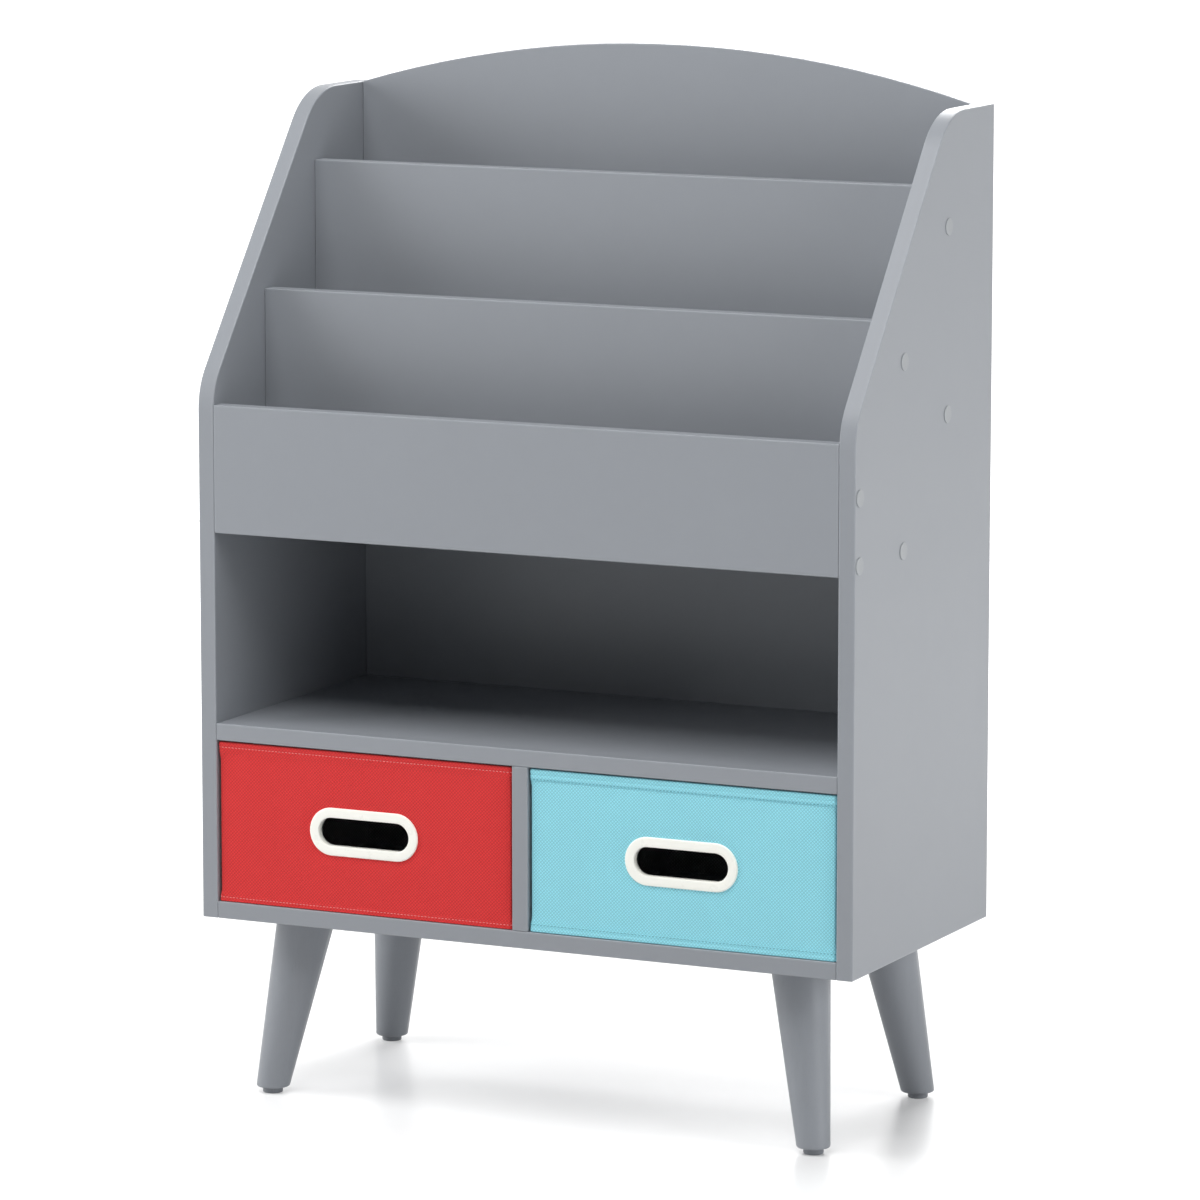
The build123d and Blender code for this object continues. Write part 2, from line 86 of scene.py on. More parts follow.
def plus(tree, first, second):
    return compute(tree, "ADD", first, second)


def minus(tree, first, second):
    return compute(tree, "SUBTRACT", first, second)


def times(tree, first, second):
    return compute(tree, "MULTIPLY", first, second)


def computeVector(tree, operation, *values, output="Vector"):
    node = addNode(tree, "ShaderNodeVectorMath", dict(enumerate(values)), operation=operation)
    return node.outputs[output]


def splitVector(tree, vector):
    return addNode(tree, "ShaderNodeSeparateXYZ", {0: vector}).outputs


def rescale(tree, value, fromLow, fromHigh, toLow=0.0, toHigh=1.0):
    # A smooth step from one range to another.
    labels = "Value", "From Min", "From Max", "To Min", "To Max"
    inputs = dict(zip(labels, (value, fromLow, fromHigh, toLow, toHigh)))
    return addNode(tree, "ShaderNodeMapRange", inputs, interpolation_type="SMOOTHSTEP").outputs[0]


def noiseAt(tree, place, scale, detail=2.0, roughness=0.5):
    inputs = {"Vector": place, "Scale": scale, "Detail": detail, "Roughness": roughness}
    return addNode(tree, "ShaderNodeTexNoise", inputs).outputs[0]


def brighten(tree, colour, factor):
    # The colour times a grey that is 1 where nothing changes.
    node = addNode(tree, "ShaderNodeVectorMath", {"Scale": factor}, operation="SCALE")
    if isinstance(colour, bpy.types.NodeSocket):
        tree.links.new(colour, node.inputs[0])
    else:
        node.inputs[0].default_value = colour[:3]
    return node.outputs[0]


def startGroup(name, inputs, outputs):
    # A shader group with named sockets. Inputs are (label, kind, value), where a vector needs no value,
    # and outputs are (label, kind).
    tree = bpy.data.node_groups.new(name, "ShaderNodeTree")
    for label, kind, *value in inputs:
        socket = tree.interface.new_socket(label, in_out="INPUT", socket_type="NodeSocket" + kind)
        if value:
            socket.default_value = value[0]
    for label, kind in outputs:
        tree.interface.new_socket(label, in_out="OUTPUT", socket_type="NodeSocket" + kind)
    return tree, tree.nodes.new("NodeGroupInput").outputs


def placeGroup(tree, group, inputs):
    # Setting node_tree makes the node's sockets, so addNode does that before it fills them.
    return addNode(tree, "ShaderNodeGroup", inputs, node_tree=group).outputs


# Shader groups

paintLook = {
    "wearScale": 90.0,
    "cloudScale": 5.0,
    "mottleScale": 55.0,
    "peelDulling": 0.08,
    "mottleDulling": 0.12,
    "rimGloss": 0.06,
}


def boardRimGroup():
    # How near a point of a board is to one of its edges. A board's face has a gap of zero along the
    # thickness, its rim a gap of zero along the outline, and the edge is where both are small.
    tree, given = startGroup("board rim", [
        ("Position", "Vector"),
        ("Centre", "Vector"),
        ("Half Size", "Vector"),
        ("Thickness Axis", "Vector"),
        ("Slant Normal", "Vector"),
        ("Slant Reach", "Float", 10.0),
        ("Width", "Float", 0.002),
    ], [("Mask", "Float")])
    offset = computeVector(tree, "SUBTRACT", given["Position"], given["Centre"])
    distance = computeVector(tree, "ABSOLUTE", offset)
    gaps = computeVector(tree, "SUBTRACT", given["Half Size"], distance)
    faceGap = computeVector(tree, "DOT_PRODUCT", gaps, given["Thickness Axis"], output="Value")
    outline = computeVector(tree, "ADD", gaps, given["Thickness Axis"])
    split = splitVector(tree, outline)
    nearest = compute(tree, "MINIMUM", compute(tree, "MINIMUM", split[0], split[1]), split[2])
    along = computeVector(tree, "DOT_PRODUCT", given["Position"], given["Slant Normal"], output="Value")
    slantGap = minus(tree, given["Slant Reach"], along)
    rimGap = compute(tree, "MINIMUM", nearest, slantGap)
    edge = compute(tree, "MAXIMUM", faceGap, rimGap)
    unevenness = noiseAt(tree, given["Position"], paintLook["wearScale"], 3.0)
    width = times(tree, given["Width"], plus(tree, unevenness, 0.5))
    mask = minus(tree, 1.0, compute(tree, "DIVIDE", edge, width))
    addNode(tree, "NodeGroupOutput", {"Mask": compute(tree, "MAXIMUM", mask, 0.0)})
    return tree


def satinPaintGroup():
    # Sprayed satin paint: slow changes of tone, a fine orange peel, glossier edges and a painted edge
    # highlight.
    tree, given = startGroup("satin paint", [
        ("Position", "Vector"),
        ("Colour", "Color", (0.3, 0.3, 0.3, 1)),
        ("Rim", "Float", 0.0),
        ("Rim Gain", "Float", 0.12),
        ("Tone Change", "Float", 0.05),
        ("Roughness", "Float", 0.4),
        ("Peel Pitch", "Float", 0.0009),
    ], [("Colour", "Color"), ("Roughness", "Float"), ("Height", "Float")])
    cloud = noiseAt(tree, given["Position"], paintLook["cloudScale"], 3.0)
    mottle = noiseAt(tree, given["Position"], paintLook["mottleScale"], 4.0, 0.6)
    peel = noiseAt(tree, given["Position"], compute(tree, "DIVIDE", 1.0, given["Peel Pitch"]), 1.0)
    drift = minus(tree, plus(tree, cloud, mottle), 1.0)
    shift = times(tree, drift, given["Tone Change"])
    # Along the edges the colour is made lighter: a painted highlight for light caught by the rounded
    # edges.
    paintedRimHighlight = times(tree, given["Rim"], given["Rim Gain"])
    factor = plus(tree, plus(tree, shift, paintedRimHighlight), 1.0)
    colour = brighten(tree, given["Colour"], factor)
    speckle = times(tree, minus(tree, peel, 0.5), paintLook["peelDulling"])
    cloudy = times(tree, minus(tree, mottle, 0.5), paintLook["mottleDulling"])
    rough = plus(tree, given["Roughness"], plus(tree, speckle, cloudy))
    worn = times(tree, given["Rim"], paintLook["rimGloss"])
    rough = minus(tree, rough, worn)
    addNode(tree, "NodeGroupOutput", {"Colour": colour, "Roughness": rough, "Height": peel})
    return tree


grainLook = {"bandScale": 220.0, "poreScale": 1500.0, "poreRange": (0.58, 0.7), "poreDepth": 0.6}


def woodGrainGroup():
    # Fibres that run along one axis: noise stretched along it, with short dark pores.
    tree, given = startGroup("wood grain", [
        ("Position", "Vector"),
        ("Squeeze", "Vector", (1, 1, 0.06)),
        ("Colour", "Color", (0.5, 0.4, 0.3, 1)),
        ("Depth", "Float", 0.2),
    ], [("Colour", "Color"), ("Height", "Float")])
    stretched = computeVector(tree, "MULTIPLY", given["Position"], given["Squeeze"])
    bands = noiseAt(tree, stretched, grainLook["bandScale"], 3.0, 0.55)
    pores = noiseAt(tree, stretched, grainLook["poreScale"], 2.0)
    poreMask = rescale(tree, pores, *grainLook["poreRange"])
    relief = minus(tree, bands, times(tree, poreMask, grainLook["poreDepth"]))
    change = times(tree, minus(tree, relief, 0.5), given["Depth"])
    colour = brighten(tree, given["Colour"], plus(tree, change, 1.0))
    addNode(tree, "NodeGroupOutput", {"Colour": colour, "Height": relief})
    return tree


embossLook = {
    "lineWidth": 0.62,
    "fibreScales": (2600.0, 2300.0),
    "fibreStretch": 0.22,
    "fibreTone": 0.3,
    "fibreHeight": 0.35,
    "cloudScale": 16.0,
    "pressedTone": 0.4,
    "pressedDulling": 0.12,
    # Painted sheen: how much white is added to the colour of the cushions.
    "paintedSheen": 0.014,
}


def embossedClothGroup():
    # Non-woven cloth pressed between rollers. Two sets of fine lines cross at right angles, at 45
    # degrees to the cut, and leave small cushions between them; short loose fibres lie over both, and
    # a little white added to the colour of the cushions is a painted sheen.
    tree, given = startGroup("embossed cloth", [
        ("Cloth Place", "Vector"),
        ("Colour", "Color", (0.5, 0.5, 0.5, 1)),
        ("Pitch", "Float", 0.0022),
        ("Emboss", "Float", 1.0),
        ("Tone Change", "Float", 0.06),
        ("Roughness", "Float", 0.75),
    ], [("Colour", "Color"), ("Roughness", "Float"), ("Height", "Float")])
    split = splitVector(tree, given["Cloth Place"])
    turn = compute(tree, "DIVIDE", math.pi / math.sqrt(2), given["Pitch"])
    rising = times(tree, plus(tree, split[0], split[1]), turn)
    falling = times(tree, minus(tree, split[0], split[1]), turn)
    ridgeA = compute(tree, "ABSOLUTE", compute(tree, "SINE", rising))
    ridgeB = compute(tree, "ABSOLUTE", compute(tree, "SINE", falling))
    cushion = rescale(tree, compute(tree, "MINIMUM", ridgeA, ridgeB), 0.0, embossLook["lineWidth"])
    stretch = embossLook["fibreStretch"]
    upright = computeVector(tree, "MULTIPLY", given["Cloth Place"], (1.0, stretch, 1.0))
    level = computeVector(tree, "MULTIPLY", given["Cloth Place"], (stretch, 1.0, 1.0))
    fibreA = noiseAt(tree, upright, embossLook["fibreScales"][0])
    fibreB = noiseAt(tree, level, embossLook["fibreScales"][1])
    fibres = compute(tree, "MAXIMUM", fibreA, fibreB)
    cloud = noiseAt(tree, given["Cloth Place"], embossLook["cloudScale"], 4.0, 0.6)
    pressed = times(tree, minus(tree, cushion, 0.45), given["Emboss"])
    pressedTone = times(tree, pressed, embossLook["pressedTone"])
    fibreTone = times(tree, minus(tree, fibres, 0.56), embossLook["fibreTone"])
    drift = times(tree, minus(tree, cloud, 0.5), given["Tone Change"])
    change = plus(tree, plus(tree, pressedTone, fibreTone), drift)
    # White added to the colour where the cushions stand up: a painted sheen.
    paintedSheen = times(tree, pressed, embossLook["paintedSheen"])
    colour = brighten(tree, given["Colour"], plus(tree, change, 1.0))
    colour = computeVector(tree, "ADD", colour, paintedSheen)
    dulling = times(tree, pressed, embossLook["pressedDulling"])
    rough = plus(tree, given["Roughness"], dulling)
    lift = times(tree, cushion, given["Emboss"])
    nap = times(tree, fibres, embossLook["fibreHeight"])
    height = plus(tree, lift, nap)
    addNode(tree, "NodeGroupOutput", {"Colour": colour, "Roughness": rough, "Height": height})
    return tree


scuffLook = {
    "stretches": ((1.0, 0.08, 0.5), (0.5, 1.0, 0.06)),
    "scales": (900.0, 700.0),
    "markRange": (0.66, 0.78),
    "blotchScale": 120.0,
    "mouldScale": 1800.0,
    "dulling": 0.22,
    "markDepth": 0.6,
}


def scuffGroup():
    # Handling marks: short scratches from noise stretched in two directions, and dull blotches.
    tree, given = startGroup("handling scuffs", [
        ("Position", "Vector"),
        ("Colour", "Color", (0.5, 0.5, 0.5, 1)),
        ("Amount", "Float", 0.05),
        ("Roughness", "Float", 0.4),
        ("Scale", "Float", 1.0),
    ], [("Colour", "Color"), ("Roughness", "Float"), ("Height", "Float")])
    place = computeVector(tree, "SCALE", given["Position"], (0, 0, 0), (0, 0, 0), given["Scale"])
    across, upright = (computeVector(tree, "MULTIPLY", place, way) for way in scuffLook["stretches"])
    acrossMarks = noiseAt(tree, across, scuffLook["scales"][0], 1.0)
    uprightMarks = noiseAt(tree, upright, scuffLook["scales"][1], 1.0)
    marks = compute(tree, "MAXIMUM", acrossMarks, uprightMarks)
    marks = rescale(tree, marks, *scuffLook["markRange"])
    blotches = noiseAt(tree, place, scuffLook["blotchScale"], 4.0, 0.65)
    mould = noiseAt(tree, place, scuffLook["mouldScale"], 1.0)
    uneven = plus(tree, marks, minus(tree, blotches, 0.5))
    colour = brighten(tree, given["Colour"], plus(tree, times(tree, uneven, given["Amount"]), 1.0))
    rough = plus(tree, given["Roughness"], times(tree, uneven, scuffLook["dulling"]))
    height = minus(tree, mould, times(tree, marks, scuffLook["markDepth"]))
    addNode(tree, "NodeGroupOutput", {"Colour": colour, "Roughness": rough, "Height": height})
    return tree


boardRim = boardRimGroup()
satinPaint = satinPaintGroup()
woodGrain = woodGrainGroup()
embossedCloth = embossedClothGroup()
scuffs = scuffGroup()
print("shader groups made")


# Materials

def startMaterial(name):
    material = bpy.data.materials.new(name)
    material.use_nodes = True
    tree = material.node_tree
    tree.nodes.clear()
    return material, tree


def objectPlace(tree, offset=(0, 0, 0)):
    # A place on the object in metres; the offset gives each piece its own part of the noise.
    place = addNode(tree, "ShaderNodeTexCoord").outputs["Object"]
    return computeVector(tree, "ADD", place, offset)


def endMaterial(tree, colour, roughness, height, depth, constants=None):
    # `depth` is the height in metres between the lowest and the highest point of the relief.
    bump = addNode(tree, "ShaderNodeBump", {"Height": height, "Distance": depth}).outputs[0]
    inputs = {"Base Color": colour, "Roughness": roughness, "Normal": bump, **(constants or {})}
    shader = addNode(tree, "ShaderNodeBsdfPrincipled", inputs)
    addNode(tree, "ShaderNodeOutputMaterial", {"Surface": shader.outputs[0]})


boardLook = {
    "colour": shownColour(147, 151, 157),
    "toneChange": 0.035,
    "toneByBoard": 0.012,
    "roughness": 0.36,
    "specular": 0.32,
    "peelPitch": 1.1 * mm,
    "peelDepth": 0.012 * mm,
    "rimWidth": 1.9 * mm,
    # How much lighter the paint is made on board edges: a painted highlight.
    "paintedRimGain": 0.1,
}
sideSlant = {"low": (-148.0 * mm, 626.8 * mm), "high": (48.0 * mm, 872.5 * mm)}
boardNames = [
    "left_side_panel", "right_side_panel", "back_panel", "front_panel",
    "lower_tier_panel", "upper_tier_panel", "middle_shelf", "bottom_board",
    "centre_divider", "front_pocket_floor", "middle_pocket_floor", "rear_pocket_floor",
]


def boardPaint(node, number):
    # One material for each board, because the edge mask needs the board's own box.
    material, tree = startMaterial("paint_" + node)
    low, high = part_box(node)
    centre = (low + high) / 2
    half = (high - low) / 2
    thin = min(range(3), key=lambda axis: half[axis])
    thickness = [float(axis == thin) for axis in range(3)]
    slant = (0.0, 0.0, 0.0)
    reach = 10.0  # far outside the board, so there is no slanted edge
    if node.endswith("side_panel"):
        run, rise = np.subtract(sideSlant["high"], sideSlant["low"])
        length = math.hypot(run, rise)
        slant = (0.0, -rise / length, run / length)
        reach = float(np.dot(slant[1:], sideSlant["low"]))
    rim = placeGroup(tree, boardRim, {
        "Position": objectPlace(tree),
        "Centre": centre,
        "Half Size": half,
        "Thickness Axis": thickness,
        "Slant Normal": slant,
        "Slant Reach": reach,
        "Width": boardLook["rimWidth"],
    })
    tone = 1 + boardLook["toneByBoard"] * math.sin(2.4 * number)
    colour = [value * tone for value in boardLook["colour"][:3]] + [1.0]
    paint = placeGroup(tree, satinPaint, {
        "Position": objectPlace(tree, (0.37 * number, 0.11 * number, 0.0)),
        "Colour": colour,
        "Rim": rim["Mask"],
        "Rim Gain": boardLook["paintedRimGain"],
        "Tone Change": boardLook["toneChange"],
        "Roughness": boardLook["roughness"],
        "Peel Pitch": boardLook["peelPitch"],
    })
    gloss = {"Specular IOR Level": boardLook["specular"]}
    endMaterial(tree, paint["Colour"], paint["Roughness"], paint["Height"], boardLook["peelDepth"], gloss)
    return material


legLook = {
    "colour": shownColour(142, 146, 152),
    "grainDepth": 0.06,
    "grainSqueeze": (1.0, 1.0, 0.05),
    "roughness": 0.37,
    "relief": 0.02 * mm,
}


def legPaint():
    # Paint on turned wood: the grain shows through only a little.
    material, tree = startMaterial("leg paint")
    grain = placeGroup(tree, woodGrain, {
        "Position": objectPlace(tree),
        "Squeeze": legLook["grainSqueeze"],
        "Colour": legLook["colour"],
        "Depth": legLook["grainDepth"],
    })
    paint = placeGroup(tree, satinPaint, {
        "Position": objectPlace(tree),
        "Colour": grain["Colour"],
        "Roughness": legLook["roughness"],
    })
    height = plus(tree, grain["Height"], paint["Height"])
    gloss = {"Specular IOR Level": boardLook["specular"]}
    endMaterial(tree, paint["Colour"], paint["Roughness"], height, legLook["relief"], gloss)
    return material


def scuffedMaterial(name, colour, amount, roughness, depth, scale=1.0, constants=None):
    # Moulded plastic or metal: fine mould texture with faint marks.
    material, tree = startMaterial(name)
    marks = placeGroup(tree, scuffs, {
        "Position": objectPlace(tree),
        "Colour": colour,
        "Amount": amount,
        "Roughness": roughness,
        "Scale": scale,
    })
    endMaterial(tree, marks["Colour"], marks["Roughness"], marks["Height"], depth, constants)
    return material


def plainWood(name, colour, squeeze, depth, roughness):
    # Bare wood or board, whose fibres run along the axis with the smallest squeeze.
    material, tree = startMaterial(name)
    grain = placeGroup(tree, woodGrain, {
        "Position": objectPlace(tree),
        "Squeeze": squeeze,
        "Colour": colour,
        "Depth": depth,
    })
    rough = plus(tree, times(tree, grain["Height"], 0.2), roughness)
    endMaterial(tree, grain["Colour"], rough, grain["Height"], 0.05 * mm)
    return material


clothMap = "clothMetres"
clothLooks = {
    "red": shownColour(209, 42, 43),
    "red thread": shownColour(234, 146, 144),
    "aqua": shownColour(143, 215, 229),
    "aqua thread": shownColour(84, 160, 176),
    "lining": shownColour(206, 207, 208),
    "pitch": 2.2 * mm,
    "depth": 0.2 * mm,
    "hemShare": 0.8,
    "hemFade": 0.4 * mm,
    "roughness": 0.72,
    "sheen": {"Sheen Weight": 0.12, "Sheen Roughness": 0.5, "Specular IOR Level": 0.3},
}


def clothMaterial(name, colour, pressed):
    # The pattern follows the cloth, on a map in metres. It is full between the two heights in `pressed`,
    # and weaker on the sewn hems above and below them.
    material, tree = startMaterial(name)
    place = addNode(tree, "ShaderNodeUVMap", uv_map=clothMap).outputs[0]
    up = splitVector(tree, objectPlace(tree))[2]
    share = clothLooks["hemShare"]
    fade = clothLooks["hemFade"]
    above = rescale(tree, up, pressed[0] - fade, pressed[0] + fade, share, 1.0)
    below = rescale(tree, up, pressed[1] - fade, pressed[1] + fade, 1.0, share)
    cloth = placeGroup(tree, embossedCloth, {
        "Cloth Place": place,
        "Colour": colour,
        "Pitch": clothLooks["pitch"],
        "Emboss": compute(tree, "MINIMUM", above, below),
        "Roughness": clothLooks["roughness"],
    })
    depth = clothLooks["depth"]
    sheen = clothLooks["sheen"]
    endMaterial(tree, cloth["Colour"], cloth["Roughness"], cloth["Height"], depth, sheen)
    return material


threadLook = {"twist": 5200.0, "tone": (0.8, 0.3), "roughness": (0.65, -0.15), "depth": 0.08 * mm}


def threadMaterial(name, colour):
    # Two plies of thread twist round each other: bands that lean across the stitch.
    material, tree = startMaterial(name)
    place = addNode(tree, "ShaderNodeUVMap", uv_map=clothMap).outputs[0]
    split = splitVector(tree, place)
    lean = plus(tree, times(tree, split[0], threadLook["twist"]), split[1])
    ply = compute(tree, "ABSOLUTE", compute(tree, "SINE", lean))
    leastTone, toneGain = threadLook["tone"]
    tone = plus(tree, times(tree, ply, toneGain), leastTone)
    dullest, glossGain = threadLook["roughness"]
    rough = plus(tree, times(tree, ply, glossGain), dullest)
    endMaterial(tree, brighten(tree, colour, tone), rough, ply, threadLook["depth"])
    return material


for number, node in enumerate(boardNames):
    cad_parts[node].material_slots[0].material = boardPaint(node, number)

nodeFinishes = {
    "_leg": legPaint(),
    "_glide": scuffedMaterial("glide plastic", shownColour(126, 130, 136), 0.2, 0.45, 0.02 * mm),
    "_screw_caps": scuffedMaterial("cap plastic", shownColour(150, 154, 158), 0.04, 0.34, 0.01 * mm),
    "_panel_screws": scuffedMaterial(
        "plated steel", shownColour(200, 200, 196), 0.2, 0.3, 0.02 * mm, 1.5, {"Metallic": 1.0}
    ),
    "_cam_discs": scuffedMaterial(
        "cast zinc", shownColour(180, 181, 184), 0.3, 0.42, 0.05 * mm, 0.8, {"Metallic": 1.0}
    ),
    "_dowels": plainWood("beech", shownColour(205, 172, 128), (1.0, 1.0, 0.1), 0.35, 0.55),
    "_board": plainWood("pressed grey board", shownColour(150, 140, 126), (1.0, 1.0, 0.6), 0.25, 0.8),
}
nodeFinishes["_cam_bolts"] = nodeFinishes["_panel_screws"]
nodeFinishes["leg_bolts"] = nodeFinishes["_panel_screws"]
nodeFinishes["leg_inserts"] = nodeFinishes["_panel_screws"]
for node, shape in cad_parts.items():
    for ending, finish in nodeFinishes.items():
        if node.endswith(ending) and node not in boardNames:
            shape.material_slots[0].material = finish
print("boards, legs and fittings have their materials")


# Meshes from grids

def spacedStops(stops, spacing):
    # Evenly spaced values from each stop to the next, with every stop kept.
    parts = [
        np.linspace(a, b, max(1, math.ceil(abs(b - a) / spacing)) + 1)[:-1]
        for a, b in zip(stops[:-1], stops[1:])
    ]
    return np.concatenate([*parts, stops[-1:]])


def smoothStep(value, low, high):
    # 0 up to `low`, 1 from `high` on, and 3t^2 - 2t^3 of the share t between them.
    t = np.clip((value - low) / (high - low), 0, 1)
    return t * t * (3 - 2 * t)


def joinProfile(*parts):
    # Runs of a profile, each a pair of arrays or numbers, joined end to end.
    pairs = [np.broadcast_arrays(np.atleast_1d(a), np.atleast_1d(b)) for a, b in parts]
    return np.concatenate([a for a, b in pairs]), np.concatenate([b for a, b in pairs])


def turnProfile(centre, radius, start, end, steps=5):
    # Part of a circle between two angles given in quarter turns.
    angles = np.linspace(start, end, steps) * math.pi / 2
    return centre[0] + radius * np.cos(angles), centre[1] + radius * np.sin(angles)


def gridCells(rows, columns, closedRows, closedColumns):
    # Each cell's corners as (row, column), anticlockwise where rows run up and columns to the right.
    r, c = np.meshgrid(
        np.arange(rows if closedRows else rows - 1),
        np.arange(columns if closedColumns else columns - 1),
        indexing="ij",
    )
    corners = [(r, c), (r, c + 1), (r + 1, c + 1), (r + 1, c)]
    return np.stack([np.stack(corner, -1) for corner in corners], 2).reshape(-1, 4, 2)


def makePiece(name, points, faces, cornerMap, material, tidyNormals=False):
    # `cornerMap` holds the place on the cloth of each corner of each face, in metres.
    mesh = bpy.data.meshes.new(name)
    mesh.from_pydata(points, [], faces)
    mesh.uv_layers.new(name=clothMap).data.foreach_set("uv", np.ravel(cornerMap))
    mesh.shade_smooth()
    mesh.materials.append(material)
    shape = bmesh.new()
    shape.from_mesh(mesh)
    bmesh.ops.delete(shape, geom=[v for v in shape.verts if not v.link_faces], context="VERTS")
    if tidyNormals:
        bmesh.ops.recalc_face_normals(shape, faces=shape.faces)
    shape.to_mesh(mesh)
    shape.free()
    piece = bpy.data.objects.new(name, mesh)
    bpy.context.scene.collection.objects.link(piece)
    return piece


def gridPiece(name, grid, material, closedRows=False, flatRows=0, leftOut=None, floorCap=False,
              inward=False, shift=0.0):
    # `grid` is rows x columns x 3 and closed round its columns. The cloth map unrolls it, but its first
    # `flatRows` rows lie on the floor and are mapped from above. `shift` is how far each point was drawn
    # along the cloth, so that the pattern stays straight there.
    rows, columns = grid.shape[:2]
    wide = np.concatenate([grid, grid[:, :1]], axis=1)
    tall = np.concatenate([grid, grid[:1]], axis=0)
    around = np.linalg.norm(np.diff(wide, axis=1), axis=-1)[flatRows:].mean(0)
    up = np.linalg.norm(np.diff(tall, axis=0), axis=-1).mean(1)
    around, up = (np.concatenate([[0.0], np.cumsum(steps)]) for steps in (around, up))
    cells = gridCells(rows, columns, closedRows, True)
    if leftOut is not None:
        r, c = np.moveaxis(cells % (rows, columns), -1, 0)
        cells = cells[~leftOut[r, c].all(axis=1)]
    if inward:
        cells = cells[:, ::-1]
    r, c = np.moveaxis(cells % (rows, columns), -1, 0)
    unrolled = np.stack([around[cells[..., 1]], up[cells[..., 0]]], axis=-1)
    unrolled = unrolled + np.broadcast_to(shift, (rows, columns, 2))[r, c]
    onFloor = cells[..., 0].min(axis=1)[:, None, None] < flatRows
    cornerMap = np.where(onFloor, grid[r, c][..., :2], unrolled).reshape(-1, 2)
    faces = list(r * columns + c)
    if floorCap:
        cap = np.arange(columns)[::1 if inward else -1]
        faces.append(cap)
        cornerMap = np.concatenate([cornerMap, grid[0, cap, :2]])
    return makePiece(name, grid.reshape(-1, 3), faces, cornerMap, material, closedRows)


# Fabric bins

binCloth = {
    "cornerRadius": 3.0 * mm,
    "leastRadius": 0.8 * mm,
    "columnSpacing": 3.2 * mm,
    "rowSpacing": 3.0 * mm,
    "cornerSteps": 6,
    "coverSkin": 0.55 * mm,
    "coverFloor": 0.35 * mm,
    "coverRings": (0.1, 10),
    "liningSkin": 4.6 * mm,
    "liningFloor": 3.8 * mm,
    "liningRings": (0.04, 30),
    "leastSkin": 0.1 * mm,
    "thickness": 0.45 * mm,
    "underHem": 0.8 * mm,
    "foldRadius": 1.3 * mm,
    "bulge": 0.35 * mm,
    "bulgeReach": 45.0 * mm,
    "cornerPull": 0.85 * mm,
    "pullReach": 5.0 * mm,
    "hemReach": 5.0 * mm,
    "waveDepth": 0.25 * mm,
    "waveLength": 75.0 * mm,
    "waveCount": 7,
    "puckerDepth": 0.14 * mm,
    "puckerLength": 9.0 * mm,
    "puckerCount": 5,
    "puckerFade": (6.0 * mm, 8.0 * mm),
    "cornerHold": 10.0 * mm,
    "roundWall": 1.1,
    "floorSag": 0.8 * mm,
    "sagLength": 160.0 * mm,
    "sagCount": 5,
    "holeMargin": 2.6 * mm,
    "clampedSkin": 0.85 * mm,
    "clampInset": 0.5 * mm,
    "clampReach": 10.0 * mm,
}
hems = {
    "columnSpacing": 2.4 * mm,
    "rowSpacing": 0.5 * mm,
    "cornerSteps": 8,
    "topRound": 1.5 * mm,
    "edgeRound": 0.12 * mm,
    "footRound": 0.9 * mm,
    "footLip": 5.0 * mm,
    "stitchDip": 0.3 * mm,
    "stitchWidth": 0.65 * mm,
    "creaseWidth": 0.9 * mm,
    "dropStart": 1.0 * mm,
    "leastCover": 0.05 * mm,
    "tuck": 0.01 * mm,
    "topLayer": 0.75 * mm,
    "puff": 0.08 * mm,
    "puffLength": 8.0 * mm,
    "puffCount": 6,
}
hemLooks = {
    "red": {
        "top": dict(height=10.5 * mm, line=4.7 * mm, crease=8.0 * mm, dip=0.0, edge=0.4 * mm),
        "bottom": dict(height=5.6 * mm, line=3.8 * mm, crease=1.9 * mm, dip=0.2 * mm, edge=0.3 * mm),
        "smooth": (5.6 * mm, 5.2 * mm),
    },
    "aqua": {
        "top": dict(height=9.8 * mm, line=8.8 * mm, crease=5.0 * mm, dip=0.32 * mm, edge=0.1 * mm),
        "bottom": dict(height=7.3 * mm, line=6.4 * mm, crease=4.3 * mm, dip=0.4 * mm, edge=0.1 * mm),
        "smooth": (7.3 * mm, 9.8 * mm),
    },
}
stitches = {
    "pitch": 3.3 * mm,
    "length": 2.5 * mm,
    "radius": 0.3 * mm,
    "dive": 0.35 * mm,
    "stand": 0.12 * mm,
    "taper": 0.75,
    "flatness": 0.8,
    "rings": 5,
    "sides": 5,
    "pathSpacing": 2.0 * mm,
}
handle = {
    "band": 8.7 * mm,
    "flange": 1.8 * mm,
    "sleeve": 1.6 * mm,
    "frontRound": 1.35 * mm,
    "lipRound": 0.9 * mm,
    "crown": 0.12 * mm,
    "draft": 0.25 * mm,
    "rearRound": 0.7 * mm,
    "rearMargin": 1.5 * mm,
    "rearGap": 0.1 * mm,
    "rearChamfer": 0.2 * mm,
    "arcSteps": 44,
}


def readBin(name):
    # The bin's outer box and its handle opening, read from the parts of model.glb.
    low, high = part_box(name + "_top_hem")
    ringLow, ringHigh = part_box(name + "_handle_ring")
    return {
        "centre": np.array((low + high) / 2)[:2],
        "half": np.array((high - low) / 2)[:2],
        "low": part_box(name + "_bottom_hem")[0].z,
        "high": high.z,
        "handle": np.array((ringLow + ringHigh) / 2)[::2],
        "opening": np.array((ringHigh - ringLow) / 2)[::2] - handle["band"],
        "ringFront": ringLow.y,
        "ringRear": ringHigh.y,
    }


